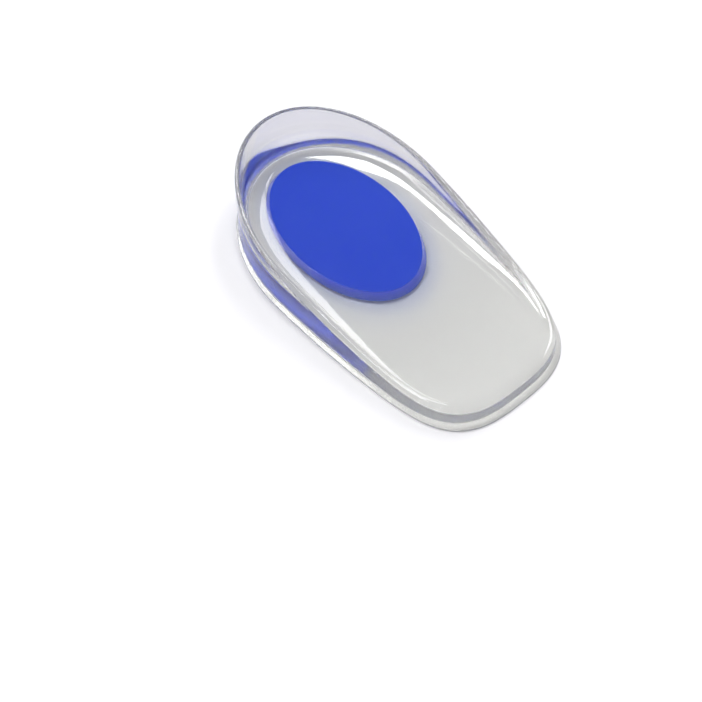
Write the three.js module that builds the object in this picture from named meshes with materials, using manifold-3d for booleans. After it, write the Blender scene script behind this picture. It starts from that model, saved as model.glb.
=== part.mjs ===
// A clear silicone heel cup with a softer blue gel spot under the heel bone, lying on its flat sole.
// Millimetres, +Z up. The heel end points to +Y, the front edge to -Y, and X runs across.
// The origin is under the middle of the whole piece, on the surface that it lies on.
import * as THREE from "three";
import { mergeVertices } from "three/addons/utils/BufferGeometryUtils.js";
import Module from "manifold-3d";

// Driving sizes of the cup
const LENGTH = 110;
const WIDTH = 62.2;
const FLOOR = 5.6;
const RIM_HEEL = 20;
const RIM_FRONT = 6;
const HEEL_OVERHANG = 2.2;
const HEEL_DEPTH = 39.1;
const SOLE_ROUND = 0.3;
const FLARE_RISE = 1.7;
const LIP_ROUND = 0.7;

// The front half of the outline narrows to this share of the width. Its front edge is bowed and its
// sides run straight into rounded corners: with 2 for both powers it would be half an ellipse.
const FRONT_WIDTH_SHARE = 0.78;
const FRONT_BOW_POWER = 2.8;
const SIDE_RUN_POWER = 10;

// The rim is level for a short run behind the front edge, then climbs faster and faster to the heel.
const LEVEL_RUN = 8;
const RIM_CLIMB = 1.35;

// How the wall stands at three places round the cup, as distances inwards from the sole's outline:
// where the rim is, how far the bottom edge flares out, and where the inner wall's foot meets the floor.
// The inner wall leans by a share of its run and sweeps out to the floor in the rest, later for a
// higher power.
const WALLS = {
  heel: { rim: -HEEL_OVERHANG, flare: 0, foot: 5.8, lean: 0.3, sweep: 3 },
  side: { rim: 1.5, flare: 1.2, foot: 12.1, lean: 0.07, sweep: 5 },
  front: { rim: 2.2, flare: 1.8, foot: 6.4, lean: 0.07, sweep: 5 },
};
const FALL_POWER = 1.35;

// The lip is thin where the rim is high and wide where it is low.
const LIP_THIN = 1.4;
const LIP_WIDE = 2.8;
const LIP_THIN_RIM = 17;
const LIP_WIDE_RIM = 9;

// Driving sizes of the blue spot, where it meets the floor, and of the pocket that it sits in.
// Its side flares outwards on the way down, so that the clear silicone over it keeps it in place.
const SPOT_LENGTH = 53;
const SPOT_WIDTH = 35.6;
const SPOT_TO_HEEL = 9.8;
const SPOT_CROWN = 0.4;
const SPOT_EDGE_ROUND = 0.2;
const SPOT_FLARE = 1.2;
const POCKET_FLOOR = 0.8;
const FIT_GAP = 0.3;

// How finely the curved faces are cut
const STATIONS = 112;
const ROUND_STEPS = 3;
const WALL_STEPS = 4;
const HOLLOW_STEPS = 12;
const SPOT_SIDES = 72;
const CROWN_STEPS = 5;
const ARC_SAMPLES = 2000;

const SOLE_LENGTH = LENGTH - HEEL_OVERHANG;
const SOLE_HEEL_Y = LENGTH / 2 - HEEL_OVERHANG;
const SOLE_FRONT_Y = -LENGTH / 2;
const WIDEST_Y = SOLE_HEEL_Y - HEEL_DEPTH;
const SPOT_Y = LENGTH / 2 - SPOT_TO_HEEL - SPOT_LENGTH / 2;

const { lerp, smoothstep } = THREE.MathUtils;

// The sole's outline moved inwards by its own distance at the heel, the sides and the front.
// It starts at the end of the heel and runs counterclockwise, seen from above.
class InsetOutline extends THREE.Curve {
  constructor(inset) {
    super();
    this.halfWidth = WIDTH / 2 - inset.side;
    this.heelReach = HEEL_DEPTH - inset.heel;
    this.frontReach = SOLE_LENGTH - HEEL_DEPTH - inset.front;
    this.arcLengthDivisions = ARC_SAMPLES;
  }

  getPoint(t, target = new THREE.Vector2()) {
    const across = -Math.sin(2 * Math.PI * t);
    const along = Math.cos(2 * Math.PI * t);
    if (along >= 0) {
      return target.set(this.halfWidth * across, WIDEST_Y + this.heelReach * along);
    }
    // 0 at the widest place, 1 at the middle of the front edge
    const share = 1 - Math.abs(4 * t - 2);
    const down = 1 - (1 - share) ** FRONT_BOW_POWER;
    const out = (1 - down ** SIDE_RUN_POWER) ** (1 / FRONT_BOW_POWER);
    const taper = 1 - (1 - FRONT_WIDTH_SHARE) * down ** 2;
    return target.set(
      Math.sign(across) * this.halfWidth * out * taper,
      WIDEST_Y - this.frontReach * down,
    );
  }

  ring() {
    return this.getSpacedPoints(STATIONS).slice(0, STATIONS);
  }
}

// The height of the rim over a place on the sole's outline
function rimHeight(y) {
  const start = SOLE_FRONT_Y + LEVEL_RUN;
  const share = Math.max(0, (y - start) / (SOLE_HEEL_Y - start));
  return RIM_FRONT + (RIM_HEEL - RIM_FRONT) * share ** RIM_CLIMB;
}

// A ring at a distance inwards that is worked out for the heel, the sides and the front
function ringAt(distance, lip) {
  return new InsetOutline({
    heel: distance(WALLS.heel, lip),
    side: distance(WALLS.side, lip),
    front: distance(WALLS.front, lip),
  }).ring();
}

// The same ring with the lip's width following the height of the rim
function lipRingAt(distance, rims) {
  const wide = ringAt(distance, LIP_WIDE);
  return ringAt(distance, LIP_THIN).map((place, station) => {
    const thinning = smoothstep(rims[station], LIP_WIDE_RIM, LIP_THIN_RIM);
    return place.lerp(wide[station], 1 - thinning);
  });
}

// How far the lip rounds down on its inner side, where the rim may stand little above the floor
function innerDrop(rim) {
  return Math.min(LIP_ROUND, (rim - FLOOR) / 2);
}

// The rounded bottom edge, from the flat sole out to the wall
function soleEdgeRows() {
  const rows = [];
  for (let step = 0; step <= ROUND_STEPS; step++) {
    const turn = (step / ROUND_STEPS) * (Math.PI / 2);
    const inwards = SOLE_ROUND * (1 - Math.sin(turn));
    const z = SOLE_ROUND * (1 - Math.cos(turn));
    rows.push({ distance: () => inwards, height: () => z });
  }
  return rows;
}

// The outside of the wall: the flared bottom edge, then up to where the lip starts to round over
function outerWallRows() {
  const flareTop = SOLE_ROUND + FLARE_RISE;
  const rows = [];
  for (let step = 0; step <= WALL_STEPS; step++) {
    const t = step / WALL_STEPS;
    rows.push({
      distance: (wall) => lerp(wall.flare, wall.rim, t),
      height: (rim) => lerp(flareTop, rim - LIP_ROUND, t),
    });
  }
  return rows;
}

// The rounded lip, over the top of the wall
function lipRows() {
  const rows = [];
  for (let step = 1; step <= 2 * ROUND_STEPS; step++) {
    const turn = (step / (2 * ROUND_STEPS)) * Math.PI;
    const inside = step > ROUND_STEPS;
    const share = (1 - Math.cos(turn)) / 2;
    rows.push({
      distance: (wall, lip) => wall.rim + lip * share,
      height: (rim) => rim - (inside ? innerDrop(rim) : LIP_ROUND) * (1 - Math.sin(turn)),
    });
  }
  return rows;
}

// The hollow inside of the wall, from the lip down to the flat floor
function innerWallRows() {
  const rows = [];
  for (let step = 1; step <= HOLLOW_STEPS; step++) {
    const t = step / HOLLOW_STEPS;
    rows.push({
      distance: (wall, lip) => lerp(wall.rim + lip, wall.foot, lerp(t ** wall.sweep, t, wall.lean)),
      height: (rim) => FLOOR + (rim - innerDrop(rim) - FLOOR) * (1 - t) ** FALL_POWER,
    });
  }
  return rows;
}

// One closed skin: the flat sole, the rows of rings round the wall, and the flat floor
function cupGeometry() {
  const rims = ringAt(() => 0).map((place) => rimHeight(place.y));
  const rows = [...soleEdgeRows(), ...outerWallRows(), ...lipRows(), ...innerWallRows()];
  const rings = rows.map((row) => lipRingAt(row.distance, rims));

  const positions = [];
  rings.forEach((ring, level) => {
    ring.forEach((place, station) => {
      positions.push(place.x, place.y, rows[level].height(rims[station]));
    });
  });

  const triangles = [];
  for (let level = 0; level < rings.length - 1; level++) {
    for (let station = 0; station < STATIONS; station++) {
      const next = (station + 1) % STATIONS;
      const low = level * STATIONS;
      const high = low + STATIONS;
      triangles.push(low + station, low + next, high + next);
      triangles.push(low + station, high + next, high + station);
    }
  }
  for (const [a, b, c] of THREE.ShapeUtils.triangulateShape(rings[0], [])) {
    triangles.push(c, b, a);
  }
  const floorStart = (rings.length - 1) * STATIONS;
  for (const [a, b, c] of THREE.ShapeUtils.triangulateShape(rings.at(-1), [])) {
    triangles.push(floorStart + a, floorStart + b, floorStart + c);
  }

  const geometry = new THREE.BufferGeometry();
  geometry.setAttribute("position", new THREE.Float32BufferAttribute(positions, 3));
  geometry.setIndex(triangles);
  return geometry;
}

// An oval solid turned from a profile of (distance from the middle, height), with the spot's proportions
function ovalGeometry(profile) {
  const geometry = new THREE.LatheGeometry(profile, SPOT_SIDES);
  geometry.rotateX(Math.PI / 2);
  geometry.scale(1, SPOT_LENGTH / SPOT_WIDTH, 1);
  geometry.translate(0, SPOT_Y, 0);
  return geometry;
}

// The room cut for the spot, open at the top
function pocketGeometry() {
  const radius = SPOT_WIDTH / 2 + FIT_GAP;
  return ovalGeometry([
    new THREE.Vector2(0, POCKET_FLOOR),
    new THREE.Vector2(radius + SPOT_FLARE, POCKET_FLOOR),
    new THREE.Vector2(radius, FLOOR),
    new THREE.Vector2(radius, RIM_HEEL),
    new THREE.Vector2(0, RIM_HEEL),
  ]);
}

// The gel plug: a flared side up to the floor, a small rounded edge just above it, and a low crown
function spotGeometry() {
  const radius = SPOT_WIDTH / 2;
  const bottom = POCKET_FLOOR + FIT_GAP;
  const flare = SPOT_FLARE * (FLOOR - bottom) / (FLOOR - POCKET_FLOOR);
  const profile = [new THREE.Vector2(0, bottom), new THREE.Vector2(radius + flare, bottom)];
  for (let step = 0; step <= ROUND_STEPS; step++) {
    const turn = (step / ROUND_STEPS) * (Math.PI / 2);
    profile.push(new THREE.Vector2(
      radius - SPOT_EDGE_ROUND * (1 - Math.cos(turn)),
      FLOOR + SPOT_EDGE_ROUND * Math.sin(turn),
    ));
  }
  for (let step = CROWN_STEPS - 1; step >= 0; step--) {
    const share = step / CROWN_STEPS;
    profile.push(new THREE.Vector2(
      (radius - SPOT_EDGE_ROUND) * share,
      lerp(FLOOR + SPOT_CROWN, FLOOR + SPOT_EDGE_ROUND, share ** 2),
    ));
  }
  return ovalGeometry(profile);
}

const wasm = await Module();
wasm.setup();

// A closed geometry as a solid that can be cut
function solidFrom(geometry) {
  const bare = geometry.clone();
  bare.deleteAttribute("normal");
  bare.deleteAttribute("uv");
  const merged = mergeVertices(bare);
  return new wasm.Manifold(new wasm.Mesh({
    numProp: 3,
    vertProperties: new Float32Array(merged.attributes.position.array),
    triVerts: new Uint32Array(merged.index.array),
  }));
}

function geometryFrom(solid) {
  const mesh = solid.getMesh();
  const geometry = new THREE.BufferGeometry();
  geometry.setAttribute("position", new THREE.Float32BufferAttribute(mesh.vertProperties, 3));
  geometry.setIndex([...mesh.triVerts]);
  geometry.computeVertexNormals();
  return geometry;
}

const clearSilicone = new THREE.MeshStandardMaterial({
  color: 0xdee2de,
  roughness: 0.12,
  metalness: 0,
  transparent: true,
  opacity: 0.45,
});
const blueGel = new THREE.MeshStandardMaterial({ color: 0x3c4fc8, roughness: 0.3, metalness: 0 });

const cup = new THREE.Mesh(
  geometryFrom(solidFrom(cupGeometry()).subtract(solidFrom(pocketGeometry()))),
  clearSilicone,
);
cup.name = "cup";

const heelSpot = new THREE.Mesh(spotGeometry(), blueGel);
heelSpot.name = "heel_spot";

const heelInsert = new THREE.Group();
heelInsert.add(cup, heelSpot);

export default heelInsert;
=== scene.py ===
# %% [markdown]
# # A clear silicone heel insert
# This lesson makes one small moulded thing look real: a heel cup of clear silicone, with a softer blue gel
# spot set in its floor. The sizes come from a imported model, which is loaded first as a fixed frame. The
# smooth pieces made here stand for its two faceted solids, in the same place and at the same size.

# %% Load the frame
import math

import bmesh
import bpy
from mathutils import Matrix, Vector


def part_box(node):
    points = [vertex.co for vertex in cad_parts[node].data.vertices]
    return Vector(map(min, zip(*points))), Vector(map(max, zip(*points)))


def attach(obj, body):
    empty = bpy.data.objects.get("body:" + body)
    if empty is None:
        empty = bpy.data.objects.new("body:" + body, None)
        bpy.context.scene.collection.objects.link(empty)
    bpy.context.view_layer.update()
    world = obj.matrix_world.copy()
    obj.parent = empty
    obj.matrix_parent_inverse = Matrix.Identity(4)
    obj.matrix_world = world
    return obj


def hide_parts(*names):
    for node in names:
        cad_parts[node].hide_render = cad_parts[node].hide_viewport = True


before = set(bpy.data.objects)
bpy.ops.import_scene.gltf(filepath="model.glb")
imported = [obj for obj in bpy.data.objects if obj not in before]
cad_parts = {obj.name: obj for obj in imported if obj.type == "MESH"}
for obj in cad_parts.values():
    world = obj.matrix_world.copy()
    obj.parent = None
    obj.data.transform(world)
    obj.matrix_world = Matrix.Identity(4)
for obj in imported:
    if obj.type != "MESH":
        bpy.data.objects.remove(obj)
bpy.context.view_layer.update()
print("nodes in the frame:", sorted(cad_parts))

# %% [markdown]
# ## Sizes
# The frame gives the boxes of the cup and of the spot, so their length, width and height are read, not typed
# again. What a box can't tell is named here in metres: how thick the floor is, how round the edges are, and
# how far the spot's side flares on its way down into the floor.

# %% Sizes of the cup and of the spot
MM = 0.001

cup_low, cup_high = (Vector(corner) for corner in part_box("cup"))
spot_low, spot_high = (Vector(corner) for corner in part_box("heel_spot"))

LENGTH = cup_high.y - cup_low.y
WIDTH = cup_high.x - cup_low.x
RIM_HEEL = cup_high.z
RIM_FRONT = 6.0 * MM
FLOOR = 5.6 * MM
HEEL_OVERHANG = 2.2 * MM
HEEL_DEPTH = 39.1 * MM
SOLE_ROUND = 0.3 * MM
FLARE_RISE = 1.7 * MM
LIP_ROUND = 0.7 * MM

SOLE_HEEL_Y = LENGTH / 2 - HEEL_OVERHANG
SOLE_FRONT_Y = -LENGTH / 2
WIDEST_Y = SOLE_HEEL_Y - HEEL_DEPTH
FRONT_REACH = WIDEST_Y - SOLE_FRONT_Y

SPOT_FLARE = 1.125 * MM
SPOT_EDGE_ROUND = 0.03 * MM
SPOT_LONG = (spot_high.y - spot_low.y) / (spot_high.x - spot_low.x)
SPOT_HALF_WIDTH = (spot_high.x - spot_low.x) / 2 - SPOT_FLARE
SPOT_HALF_LENGTH = SPOT_HALF_WIDTH * SPOT_LONG
SPOT_Y = (spot_high.y + spot_low.y) / 2
SPOT_BOTTOM = spot_low.z
SPOT_TOP = spot_high.z

print(f"cup {LENGTH / MM:.1f} x {WIDTH / MM:.1f} x {RIM_HEEL / MM:.1f} mm")
print(f"spot {2 * SPOT_HALF_LENGTH / MM:.1f} x {2 * SPOT_HALF_WIDTH / MM:.1f} mm at the floor")

# %% [markdown]
# ## The outline
# Seen from above the insert is half an ellipse at the heel. From its widest place the sides narrow gently to
# a bowed front edge with rounded corners. One formula gives that outline and every smaller one inside it, so
# all the rings of the cup keep in step. The points are spread evenly along the curve, because even quads
# smooth best.

# %% Points round the cup
STATIONS = 144
FRONT_WIDTH_SHARE = 0.78
FRONT_BOW_POWER = 2.8
SIDE_RUN_POWER = 10
CURVE_SAMPLES = 1200


def outline_place(turn, inset):
    """A place on the outline, from 0 at the heel round counterclockwise, moved in by the three insets."""
    half_width = WIDTH / 2 - inset["side"]
    across = -math.sin(2 * math.pi * turn)
    along = math.cos(2 * math.pi * turn)
    if along >= 0:
        return Vector((half_width * across, WIDEST_Y + (HEEL_DEPTH - inset["heel"]) * along))
    share = 1 - abs(4 * turn - 2)
    down = 1 - (1 - share) ** FRONT_BOW_POWER
    out = max(0.0, 1 - down ** SIDE_RUN_POWER) ** (1 / FRONT_BOW_POWER)
    taper = 1 - (1 - FRONT_WIDTH_SHARE) * down ** 2
    return Vector((
        math.copysign(half_width * out * taper, across),
        WIDEST_Y - (FRONT_REACH - inset["front"]) * down,
    ))


def even_stations(curve):
    """Places spaced evenly along a closed curve, which is a function of how far round it is."""
    samples = [curve(step / CURVE_SAMPLES) for step in range(CURVE_SAMPLES + 1)]
    lengths = [0.0]
    for before, after in zip(samples, samples[1:]):
        lengths.append(lengths[-1] + (after - before).length)
    places = []
    index = 0
    for station in range(STATIONS):
        wanted = lengths[-1] * station / STATIONS
        while lengths[index + 1] < wanted:
            index += 1
        share = (wanted - lengths[index]) / (lengths[index + 1] - lengths[index])
        places.append(samples[index].lerp(samples[index + 1], share))
    return places


def inset_ring(inset):
    return even_stations(lambda turn: outline_place(turn, inset))


sole_outline = inset_ring({"heel": 0, "side": 0, "front": 0})
print("stations round the cup:", len(sole_outline))

# %% [markdown]
# ## The wall's section
# A mould maker would draw this wall as a section: a bottom edge that flares out at the sides and the front,
# an outside that stands almost upright, a rounded lip, and an inside that falls steeply and then sweeps out
# into the floor. Each step of the section is one ring round the cup. The wall stands differently at the
# heel, the sides and the front, so each ring has three insets. Its height follows the rim, which climbs from
# the front edge to the heel. The lip is thin where the rim is high and wide where it is low.
#
# The sweep decides what a clear wall shows. Where the inside is steep, light from the blue spot is turned
# back at the sole and at the outer face and comes out as a blue band. Where it is flatter, lamps mirror in
# it. The flared edge turns light another way, so it stands outside the band as a pale strip.

# %% Rings of the wall
LEVEL_RUN = 8 * MM
RIM_CLIMB = 1.35
WALLS = {
    "heel": {"rim": -HEEL_OVERHANG, "flare": 0.0, "foot": 5.8 * MM, "lean": 0.3, "sweep": 3.0},
    "side": {"rim": 1.5 * MM, "flare": 1.2 * MM, "foot": 12.1 * MM, "lean": 0.07, "sweep": 5.0},
    "front": {"rim": 2.2 * MM, "flare": 1.8 * MM, "foot": 6.4 * MM, "lean": 0.07, "sweep": 5.0},
}
LIP_THIN = 1.4 * MM
LIP_WIDE = 2.8 * MM
LIP_THIN_RIM = 17 * MM
LIP_WIDE_RIM = 9 * MM
FALL_POWER = 1.35
FLARE_TOP = SOLE_ROUND + FLARE_RISE
SOLE_HOLD = 3 * SOLE_ROUND
ROUND_STEPS = 3
WALL_STEPS = 3
SWEEP_STEPS = 12


def mix(first, second, share):
    return first + (second - first) * share


def rim_height(y):
    start = SOLE_FRONT_Y + LEVEL_RUN
    share = max(0.0, (y - start) / (SOLE_HEEL_Y - start))
    return RIM_FRONT + (RIM_HEEL - RIM_FRONT) * share ** RIM_CLIMB


rims = [rim_height(place.y) for place in sole_outline]


def inner_drop(rim):
    """How far the lip rounds down inside, where the rim may stand little above the floor."""
    return min(LIP_ROUND, (rim - FLOOR) / 2)


def lip_share(rim):
    """0 at the high heel, where the lip is thin, and 1 at the low front, where it is wide."""
    share = min(1.0, max(0.0, (LIP_THIN_RIM - rim) / (LIP_THIN_RIM - LIP_WIDE_RIM)))
    return share * share * (3 - 2 * share)


def wall_ring(distance, height):
    """One ring: distance gives the inset from a wall's numbers and the lip's width, height gives z."""
    thin, wide = (
        inset_ring({name: distance(wall, lip) for name, wall in WALLS.items()})
        for lip in (LIP_THIN, LIP_WIDE)
    )
    places = []
    for narrow, broad, rim in zip(thin, wide, rims):
        place = narrow.lerp(broad, lip_share(rim))
        places.append(Vector((place.x, place.y, height(rim))))
    return places


def sole_rings():
    """A ring that holds the sole flat close to its edge, then the small rounding of that edge."""
    rings = [wall_ring(lambda wall, lip: SOLE_HOLD, lambda rim: 0.0)]
    for step in range(ROUND_STEPS + 1):
        turn = step / ROUND_STEPS * math.pi / 2
        inwards = SOLE_ROUND * (1 - math.sin(turn))
        z = SOLE_ROUND * (1 - math.cos(turn))
        rings.append(wall_ring(lambda wall, lip: inwards, lambda rim: z))
    return rings


def outside_rings():
    """The flared bottom edge, then the outside of the wall up to the lip."""
    rings = []
    for step in range(1, ROUND_STEPS + 1):
        t = step / ROUND_STEPS
        rings.append(wall_ring(
            lambda wall, lip: wall["flare"] * t,
            lambda rim: SOLE_ROUND + FLARE_RISE * t,
        ))
    for step in range(1, WALL_STEPS + 1):
        t = step / WALL_STEPS
        rings.append(wall_ring(
            lambda wall, lip: mix(wall["flare"], wall["rim"], t),
            lambda rim: mix(FLARE_TOP, rim - LIP_ROUND, t),
        ))
    return rings


def lip_rings():
    """Half a turn over the top of the wall."""
    rings = []
    for step in range(1, 2 * ROUND_STEPS + 1):
        turn = step / (2 * ROUND_STEPS) * math.pi
        share = (1 - math.cos(turn)) / 2
        inside = step > ROUND_STEPS
        rings.append(wall_ring(
            lambda wall, lip: wall["rim"] + lip * share,
            lambda rim: rim - (inner_drop(rim) if inside else LIP_ROUND) * (1 - math.sin(turn)),
        ))
    return rings


def inside_rings():
    """The hollow inside of the wall, from the lip down to the floor."""
    rings = []
    for step in range(1, SWEEP_STEPS + 1):
        t = step / SWEEP_STEPS
        rings.append(wall_ring(
            lambda wall, lip: mix(
                wall["rim"] + lip,
                wall["foot"],
                mix(t ** wall["sweep"], t, wall["lean"]),
            ),
            lambda rim: FLOOR + (rim - inner_drop(rim) - FLOOR) * (1 - t) ** FALL_POWER,
        ))
    return rings


wall_rings = sole_rings() + outside_rings() + lip_rings() + inside_rings()
print("rings from the sole to the floor:", len(wall_rings))

# %% [markdown]
# ## The floor and the pocket
# The gel spot is moulded into the floor, so the cup has a pocket of the spot's own shape. On the real insert
# the two are bonded, with no air between them. Here the pocket is a hair smaller than the spot all round, so
# light that crosses the silicone lands on blue and isn't turned back at an air gap. The floor between the
# wall's foot and the pocket is flat, and a ring close to each of its edges keeps the smoothing from pulling
# its long faces out of shape.

# %% Rings of the floor and of the pocket
BOND = 0.1 * MM
POCKET_EDGE = 0.06 * MM
SUPPORT_REACH = 1.0 * MM
SUPPORT_SHARE = 0.33

foot_ring = wall_rings[-1]
ways_out = [Vector((place.x, place.y - SPOT_Y)).normalized() for place in foot_ring]


def oval_ring(half_width, half_length, z):
    """Places round an oval about the spot's middle, each one in line with a place on the wall's foot."""
    places = []
    for way in ways_out:
        reach = 1 / math.hypot(way.x / half_width, way.y / half_length)
        places.append(Vector((way.x * reach, SPOT_Y + way.y * reach, z)))
    return places


def side_ring(grown, z):
    """A ring round the spot's flared side at one height, larger than the spot by a small distance."""
    flare = SPOT_FLARE * max(0.0, FLOOR - z) / (FLOOR - SPOT_BOTTOM)
    return oval_ring(SPOT_HALF_WIDTH + flare + grown, SPOT_HALF_LENGTH + flare * SPOT_LONG + grown, z)


def support_ring(near, far):
    """A ring a short way from the near ring towards the far one."""
    places = []
    for start, end in zip(near, far):
        reach = min(SUPPORT_REACH, SUPPORT_SHARE * (end - start).length)
        places.append(start + (end - start).normalized() * reach)
    return places


pocket_mouth = side_ring(POCKET_EDGE - BOND, FLOOR)
pocket_bottom = SPOT_BOTTOM + BOND
floor_rings = [
    support_ring(foot_ring, pocket_mouth),
    support_ring(pocket_mouth, foot_ring),
    pocket_mouth,
    side_ring(-BOND, FLOOR - POCKET_EDGE),
    side_ring(-BOND, pocket_bottom + POCKET_EDGE),
    side_ring(-BOND - POCKET_EDGE, pocket_bottom),
    side_ring(-BOND - SUPPORT_REACH, pocket_bottom),
]
print("rings from the floor into the pocket:", len(floor_rings))

# %% [markdown]
# ## Making a skin from rings
# The skin starts as a circle whose points are moved to the first ring. Extruding that loop again and again,
# each time to the next ring, makes even quads, and the two open ends are filled. Bridging ready-made loops
# would do the same, but it can guess wrongly which way round two loops in one plane run. A Subdivision
# Surface then rounds everything, as the polish of a steel mould does.

# %% Extrude rings into one closed skin
SMOOTH_LEVELS = 2


def loop_edges(bm, verts):
    return [bm.edges.get(pair) for pair in zip(verts, verts[1:] + verts[:1])]


def first_loop(bm, places):
    circle = bmesh.ops.create_circle(bm, cap_ends=False, radius=1.0, segments=len(places))
    for vert, place in zip(circle["verts"], places):
        vert.co = place
    return circle["verts"]


def next_loop(bm, verts, places):
    """Extrude a closed loop of vertices and move the new loop to its places."""
    made = bmesh.ops.extrude_edge_only(bm, edges=loop_edges(bm, verts))
    fresh = {item for item in made["geom"] if isinstance(item, bmesh.types.BMVert)}
    loop = []
    for vert, place in zip(verts, places):
        ends = (edge.other_vert(vert) for edge in vert.link_edges)
        twin = next(end for end in ends if end in fresh)
        twin.co = place
        loop.append(twin)
    return loop


def skin_from_rings(name, rings):
    """A closed smooth piece whose skin runs through the rings, with both ends filled."""
    bm = bmesh.new()
    loop = first_loop(bm, rings[0])
    bmesh.ops.edgeloop_fill(bm, edges=loop_edges(bm, loop))
    for places in rings[1:]:
        loop = next_loop(bm, loop, places)
    bmesh.ops.edgeloop_fill(bm, edges=loop_edges(bm, loop))
    bmesh.ops.recalc_face_normals(bm, faces=bm.faces)
    for face in bm.faces:
        face.smooth = True
    mesh = bpy.data.meshes.new(name)
    bm.to_mesh(mesh)
    bm.free()
    piece = bpy.data.objects.new(name, mesh)
    bpy.context.collection.objects.link(piece)
    smooth = piece.modifiers.new("smooth", "SUBSURF")
    smooth.levels = SMOOTH_LEVELS
    smooth.render_levels = SMOOTH_LEVELS
    print(name, "faces before smoothing:", len(mesh.polygons))
    return piece


cup = skin_from_rings("silicone_cup", wall_rings + floor_rings)

# %% [markdown]
# ## The gel spot
# The spot is an oval plug with a flared side, so the clear silicone over its edge holds it down. Its top
# stands a hair above the floor, with a tiny rounded edge and a very low crown.

# %% Rings of the spot
CROWN_SHARES = (0.97, 0.9, 0.75, 0.5, 0.2)
SPOT_SHOULDER = 0.2 * MM


def spot_rings():
    """From the flat bottom up the flared side, round the edge and over the crown."""
    rings = [
        side_ring(-SUPPORT_REACH, SPOT_BOTTOM),
        side_ring(-POCKET_EDGE, SPOT_BOTTOM),
        side_ring(0, SPOT_BOTTOM + POCKET_EDGE),
        side_ring(0, FLOOR - SPOT_SHOULDER),
    ]
    for step in range(ROUND_STEPS + 1):
        turn = step / ROUND_STEPS * math.pi / 2
        inwards = SPOT_EDGE_ROUND * (1 - math.cos(turn))
        rings.append(side_ring(-inwards, FLOOR + SPOT_EDGE_ROUND * math.sin(turn)))
    for share in CROWN_SHARES:
        rings.append(oval_ring(
            (SPOT_HALF_WIDTH - SPOT_EDGE_ROUND) * share,
            (SPOT_HALF_LENGTH - SPOT_EDGE_ROUND) * share,
            mix(SPOT_TOP, FLOOR + SPOT_EDGE_ROUND, share ** 2),
        ))
    return rings


spot = skin_from_rings("blue_gel_spot", spot_rings())

# %% [markdown]
# ## A small language for shaders
# Materials are sums as much as pictures. One small class wraps a socket, so that noise * 0.5 + 0.1 adds the
# two Math nodes by itself. Any other node comes from one method, which sets the node's options first and
# then its inputs. A Mix node has sockets for numbers, vectors and colours under the same names, so those for
# colours are picked by their place in the list.

# %% Sockets in sums
MIX_FIRST_COLOUR = 6
MIX_SECOND_COLOUR = 7
MIX_COLOUR_RESULT = 2


class Shade:
    """A socket in a node tree that can stand in a Python expression."""

    def __init__(self, tree, socket):
        self.tree = tree
        self.socket = socket

    def _math(self, operation, first, second):
        node = self.tree.nodes.new("ShaderNodeMath")
        node.operation = operation
        for slot, value in zip(node.inputs, (first, second)):
            plug(self.tree, slot, value)
        return Shade(self.tree, node.outputs[0])

    def __add__(self, other):
        return self._math("ADD", self, other)

    def __radd__(self, other):
        return self._math("ADD", other, self)

    def __sub__(self, other):
        return self._math("SUBTRACT", self, other)

    def __rsub__(self, other):
        return self._math("SUBTRACT", other, self)

    def __mul__(self, other):
        return self._math("MULTIPLY", self, other)

    def __rmul__(self, other):
        return self._math("MULTIPLY", other, self)


def plug(tree, slot, value):
    """Link a socket to an input, or set the input's own value."""
    if isinstance(value, Shade):
        tree.links.new(value.socket, slot)
    else:
        slot.default_value = value


class Shader:
    """A node tree that is filled by asking for nodes."""

    def __init__(self, tree):
        self.tree = tree
        tree.nodes.clear()

    def node(self, kind, settings=None, inputs=None, output=0):
        made = self.tree.nodes.new(kind)
        for name, value in (settings or {}).items():
            setattr(made, name, value)
        for name, value in (inputs or {}).items():
            plug(self.tree, made.inputs[name], value)
        return Shade(self.tree, made.outputs[output]) if made.outputs else made

    def ramp(self, value, low, high):
        """0 below the low value and 1 above the high one, with a soft change between."""
        return self.node("ShaderNodeMapRange", {"interpolation_type": "SMOOTHSTEP"}, {
            "Value": value,
            "From Min": low,
            "From Max": high,
        })

    def blend(self, share, first, second):
        """One colour where the share is 0 and another where it is 1."""
        inputs = {"Factor": share, MIX_FIRST_COLOUR: first, MIX_SECOND_COLOUR: second}
        return self.node("ShaderNodeMix", {"data_type": "RGBA"}, inputs, MIX_COLOUR_RESULT)


def new_material(name):
    material = bpy.data.materials.new(name)
    material.use_nodes = True
    return material, Shader(material.node_tree)


print("shader helpers ready")

# %% [markdown]
# ## Clear silicone
# Moulded silicone is never quite as clean as glass. It has a faint blue-grey tint through its depth, a
# little milkiness, and a soft skin that breaks up reflections. The tint is absorption inside the volume, so
# thick places are darker by themselves. The milkiness is a small share of plain surface, warmer on the
# floor.
# On the wall that plain colour is greyer: painted shade, for the shade seen through the clear wall. The skin
# is a little roughness that varies, with a faint ripple. The sole and its edge are duller, most of all at
# the front, so that light running along inside the floor leaks out as a pale glow. Round the spot the floor
# takes a painted shadow of the spot, faint and blue-grey, mostly on the near side, as in the photo.

# %% The clear silicone
SILICONE_IOR = 1.47
SILICONE_TINT = (0.81, 0.82, 0.845, 1.0)
SILICONE_DENSITY = 42.0
SILICONE_CLEAR = 0.96
FLOOR_COLOUR = (1.0, 1.0, 0.965, 1.0)
# Painted shade: the wall's colour is greyer than the floor's, for the shade seen through the clear wall.
WALL_SHADE_COLOUR = (0.78, 0.775, 0.785, 1.0)
WALL_SHADE_RISE = 5 * MM

# The spot's painted shadow fades with the distance from the spot's middle, where 1 is the spot's edge, and
# with the height.
SPOT_SHADOW_COLOUR = (0.70, 0.74, 0.88, 1.0)
SPOT_SHADOW_SHIFT = Vector((-1.2, -1.6)) * MM
SPOT_SHADOW_FADE = (1.02, 1.32)
SPOT_SHADOW_HEIGHTS = (FLOOR * 0.5, FLOOR * 0.9)

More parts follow.
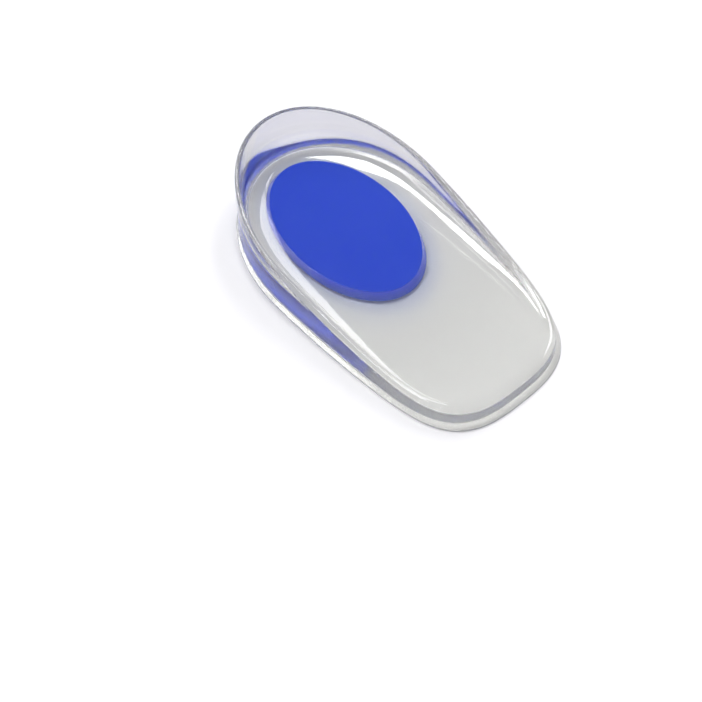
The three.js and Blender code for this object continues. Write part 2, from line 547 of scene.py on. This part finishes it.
# Roughness of the skin everywhere, and what the haze, the sole, its front and the bottom edge add to it
SKIN_ROUGH = 0.02
HAZE_ROUGH = 0.06
SOLE_ROUGH = 0.05
FRONT_ROUGH = 0.14
EDGE_ROUGH = 0.2
SOLE_HEIGHTS = (0.02 * MM, 0.12 * MM)
FRONT_FADE = (-45 * MM, -15 * MM)
EDGE_START = (0.05 * MM, 0.4 * MM)
EDGE_END = (1.4 * MM, 2.0 * MM)

HAZE_SCALE = 90.0
RIPPLE_SCALE = 60.0
RIPPLE_STRENGTH = 0.05
RIPPLE_DEPTH = 0.4 * MM


def clear_silicone():
    material, shader = new_material("clear_silicone")
    where = shader.node("ShaderNodeTexCoord", output="Object")
    height = shader.node("ShaderNodeSeparateXYZ", None, {"Vector": where}, output="Z")
    along = shader.node("ShaderNodeSeparateXYZ", None, {"Vector": where}, output="Y")
    haze = shader.node("ShaderNodeTexNoise", None, {"Vector": where, "Scale": HAZE_SCALE, "Detail": 3.0})
    ripple = shader.node("ShaderNodeTexNoise", None, {"Vector": where, "Scale": RIPPLE_SCALE, "Detail": 2.0})
    skin = shader.node("ShaderNodeBump", None, {
        "Strength": RIPPLE_STRENGTH,
        "Distance": RIPPLE_DEPTH,
        "Height": ripple,
    })
    on_sole = 1 - shader.ramp(height, *SOLE_HEIGHTS)
    to_front = 1 - shader.ramp(along, *FRONT_FADE)
    on_edge = shader.ramp(height, *EDGE_START) - shader.ramp(height, *EDGE_END)
    dullness = haze * HAZE_ROUGH + SKIN_ROUGH
    dullness = dullness + on_sole * (to_front * FRONT_ROUGH + SOLE_ROUGH)
    dullness = dullness + on_edge * EDGE_ROUGH
    # Painted shade: the colour turns greyer up the wall, over its first few millimetres above the floor.
    wall_shade = shader.ramp(height, FLOOR, FLOOR + WALL_SHADE_RISE)
    from_spot = shader.node("ShaderNodeMapping", None, {
        "Vector": where,
        "Location": (-SPOT_SHADOW_SHIFT.x / SPOT_HALF_WIDTH, -(SPOT_Y + SPOT_SHADOW_SHIFT.y) / SPOT_HALF_LENGTH, 0.0),
        "Scale": (1 / SPOT_HALF_WIDTH, 1 / SPOT_HALF_LENGTH, 0.0),
    })
    far_out = shader.node("ShaderNodeVectorMath", {"operation": "LENGTH"}, {0: from_spot}, output="Value")
    # Painted shadow of the spot: a faint blue-grey darkening of the floor round it, mostly on the near side.
    spot_shadow = (1 - shader.ramp(far_out, *SPOT_SHADOW_FADE)) * shader.ramp(height, *SPOT_SHADOW_HEIGHTS)
    tint_and_wall_shade = shader.blend(wall_shade, FLOOR_COLOUR, WALL_SHADE_COLOUR)
    surface = shader.node("ShaderNodeBsdfPrincipled", None, {
        "Base Color": shader.blend(spot_shadow, tint_and_wall_shade, SPOT_SHADOW_COLOUR),
        "Roughness": dullness,
        "IOR": SILICONE_IOR,
        "Transmission Weight": SILICONE_CLEAR,
        "Normal": skin,
    })
    depth = shader.node("ShaderNodeVolumeAbsorption", None, {
        "Color": SILICONE_TINT,
        "Density": SILICONE_DENSITY,
    })
    shader.node("ShaderNodeOutputMaterial", None, {"Surface": surface, "Volume": depth})
    return material


cup.data.materials.append(clear_silicone())
print("finish of the cup:", cup.active_material.name)

# %% [markdown]
# ## Blue gel
# The gel of the spot is coloured all through and a little softer than the cup. It scatters light under its
# skin, and its blue is a little cloudy. Its surface is satin. Its side, which is only seen through the
# silicone, has painted light: a paler blue and a faint painted glow, to match the blue edge in the photo.

# %% The blue gel
GEL_DEEP = (0.029, 0.073, 0.53, 1.0)
GEL_LIGHT = (0.038, 0.084, 0.56, 1.0)
# Painted light on the gel's side: a paler blue, and a faint glow though the gel is no lamp.
GEL_SIDE_PAINTED_LIGHT = (0.12, 0.185, 0.82, 1.0)
GEL_SIDE_PAINTED_GLOW = (0.008, 0.014, 0.09, 1.0)
GEL_NO_GLOW = (0.0, 0.0, 0.0, 1.0)
GEL_SIDE_LIGHT_FADE = 0.4 * MM
GEL_ROUGH = 0.08
GEL_SHINE = 0.2
CLOUD_SCALE = 45.0
CLOUD_ROUGH = 0.05
GRAIN_SCALE = 900.0
GRAIN_STRENGTH = 0.08
GRAIN_DEPTH = 0.1 * MM
SCATTER_SHARES = (0.3, 0.4, 1.0)
SCATTER_REACH = 6.0 * MM


def blue_gel():
    material, shader = new_material("blue_gel")
    where = shader.node("ShaderNodeTexCoord", output="Object")
    height = shader.node("ShaderNodeSeparateXYZ", None, {"Vector": where}, output="Z")
    cloud = shader.node("ShaderNodeTexNoise", None, {"Vector": where, "Scale": CLOUD_SCALE, "Detail": 3.0})
    grain = shader.node("ShaderNodeTexNoise", None, {"Vector": where, "Scale": GRAIN_SCALE, "Detail": 2.0})
    skin = shader.node("ShaderNodeBump", None, {
        "Strength": GRAIN_STRENGTH,
        "Distance": GRAIN_DEPTH,
        "Height": grain,
    })
    top = shader.blend(cloud, GEL_DEEP, GEL_LIGHT)
    # This mask puts the painted light and glow on the side, below the floor.
    above_side_light = shader.ramp(height, FLOOR - GEL_SIDE_LIGHT_FADE, FLOOR)
    surface = shader.node("ShaderNodeBsdfPrincipled", None, {
        "Base Color": shader.blend(above_side_light, GEL_SIDE_PAINTED_LIGHT, top),
        "Emission Color": shader.blend(above_side_light, GEL_SIDE_PAINTED_GLOW, GEL_NO_GLOW),
        "Emission Strength": 1.0,
        "Roughness": cloud * CLOUD_ROUGH + GEL_ROUGH,
        "IOR": SILICONE_IOR,
        "Specular IOR Level": GEL_SHINE,
        "Subsurface Weight": 1.0,
        "Subsurface Radius": SCATTER_SHARES,
        "Subsurface Scale": SCATTER_REACH,
        "Normal": skin,
    })
    shader.node("ShaderNodeOutputMaterial", None, {"Surface": surface})
    return material


spot.data.materials.append(blue_gel())
print("finish of the spot:", spot.active_material.name)

# %% [markdown]
# ## The studio
# The insert lies on a plain white table. A hair of air is left under the sole, because light inside the
# silicone must meet air there, as it does under the real one, to be turned back up towards the blue spot.

# %% The white table
TABLE_RADIUS = 2.0
TABLE_SIDES = 64
TABLE_GAP = 0.15 * MM
TABLE_COLOUR = (0.97, 0.97, 0.97, 1.0)
TABLE_ROUGH = 0.8
TABLE_SHINE = 0.1


def white_table():
    bm = bmesh.new()
    bmesh.ops.create_circle(bm, cap_ends=True, radius=TABLE_RADIUS, segments=TABLE_SIDES)
    bmesh.ops.translate(bm, verts=bm.verts, vec=(0, 0, -TABLE_GAP))
    mesh = bpy.data.meshes.new("white_table")
    bm.to_mesh(mesh)
    bm.free()
    table = bpy.data.objects.new("white_table", mesh)
    bpy.context.collection.objects.link(table)
    material, shader = new_material("table_white")
    surface = shader.node("ShaderNodeBsdfPrincipled", None, {
        "Base Color": TABLE_COLOUR,
        "Roughness": TABLE_ROUGH,
        "Specular IOR Level": TABLE_SHINE,
    })
    shader.node("ShaderNodeOutputMaterial", None, {"Surface": surface})
    mesh.materials.append(material)
    return table


table = white_table()
print("table at", -TABLE_GAP)

# %% [markdown]
# ## Light
# The lamps stand behind the insert, on the far side from the camera, so the shadow falls towards it and
# stays short. None of them stands where the flat floor would mirror it. The key lamp and a long strip lamp
# draw the white sweep along the far side, the side lamp the one at the heel, and the back lamp the thin one
# on the near side. The sky fills in the rest, and is brighter low down than overhead.

# %% Sky and lamps
SKY_COLOUR = (0.94, 0.93, 1.0, 1.0)
SKY_TOP = 0.45
SKY_LOW = 0.85
SKY_TOP_HEIGHT = 0.5
LAMP_DISTANCE = 2.0
LAMPS = {
    "key_lamp": {"way": (0.16, 0.3, 0.94), "size": (0.44, 0.44), "power": 18.0},
    "strip_lamp": {"way": (-0.2, 0.375, 0.905), "size": (1.2, 0.15), "power": 4.2},
    "back_lamp": {"way": (0.66, 0.35, 0.67), "size": (0.5, 0.4), "power": 5.0},
    "side_lamp": {"way": (0.55, 0.2, 0.81), "size": (0.3, 0.3), "power": 3.6},
}


def studio_sky():
    world = bpy.data.worlds.new("studio")
    world.use_nodes = True
    shader = Shader(world.node_tree)
    way = shader.node("ShaderNodeTexCoord", output="Generated")
    height = shader.node("ShaderNodeSeparateXYZ", None, {"Vector": way}, output="Z")
    strength = shader.ramp(height, 0.0, SKY_TOP_HEIGHT) * (SKY_TOP - SKY_LOW) + SKY_LOW
    glow = shader.node("ShaderNodeBackground", None, {"Color": SKY_COLOUR, "Strength": strength})
    shader.node("ShaderNodeOutputWorld", None, {"Surface": glow})
    bpy.context.scene.world = world


def soft_lamp(name, way, size, power):
    """A lamp of a width and a height in one direction from the insert, facing it."""
    data = bpy.data.lights.new(name, "AREA")
    data.shape = "RECTANGLE"
    data.size, data.size_y = size
    data.energy = power
    lamp = bpy.data.objects.new(name, data)
    lamp.location = Vector(way).normalized() * LAMP_DISTANCE
    lamp.rotation_euler = (-lamp.location).to_track_quat("-Z", "Y").to_euler()
    bpy.context.collection.objects.link(lamp)


studio_sky()
for name, lamp in LAMPS.items():
    soft_lamp(name, **lamp)
print("lamps:", list(LAMPS))

# %% [markdown]
# ## Camera
# The camera looks down at the insert from its front left. Its numbers come from fitting the outline and
# the spot to the edges in the photo. Clear silicone needs many bounces: light goes in and out of several
# faces before it reaches the table or the blue spot.

# %% Camera
CAMERA_AIM = Vector((-27.46, -14.48, 6.0)) * MM
CAMERA_AZIMUTH = math.radians(-45.09)
CAMERA_ELEVATION = math.radians(57.93)
CAMERA_DISTANCE = 496.4 * MM
CAMERA_ROLL = math.radians(3.95)
SENSOR_WIDTH = 36.0
LENS = 92.61
CLIP_START = 0.01
CLEAR_BOUNCES = 32
GLOSSY_BOUNCES = 24


def photo_camera():
    data = bpy.data.cameras.new("photo_camera")
    data.sensor_fit = "HORIZONTAL"
    data.sensor_width = SENSOR_WIDTH
    data.lens = LENS
    data.clip_start = CLIP_START
    camera = bpy.data.objects.new("photo_camera", data)
    bpy.context.collection.objects.link(camera)
    back = Vector((
        math.sin(CAMERA_AZIMUTH) * math.cos(CAMERA_ELEVATION),
        -math.cos(CAMERA_AZIMUTH) * math.cos(CAMERA_ELEVATION),
        math.sin(CAMERA_ELEVATION),
    ))
    level = Vector((math.cos(CAMERA_AZIMUTH), math.sin(CAMERA_AZIMUTH), 0.0))
    upright = back.cross(level)
    right = level * math.cos(CAMERA_ROLL) + upright * math.sin(CAMERA_ROLL)
    up = back.cross(right)
    turn = Matrix((right, up, back)).transposed()
    camera.matrix_world = Matrix.Translation(CAMERA_AIM + back * CAMERA_DISTANCE) @ turn.to_4x4()
    bpy.context.scene.camera = camera
    return camera


camera = photo_camera()
bpy.context.scene.view_settings.view_transform = "Standard"
paths = bpy.context.scene.cycles
paths.max_bounces = CLEAR_BOUNCES
paths.glossy_bounces = GLOSSY_BOUNCES
paths.transmission_bounces = CLEAR_BOUNCES
print("camera at", [round(value, 3) for value in camera.location])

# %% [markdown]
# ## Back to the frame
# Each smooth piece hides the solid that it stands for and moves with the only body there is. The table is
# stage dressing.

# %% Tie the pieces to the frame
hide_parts("cup")
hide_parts("heel_spot")
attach(cup, "root")
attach(spot, "root")
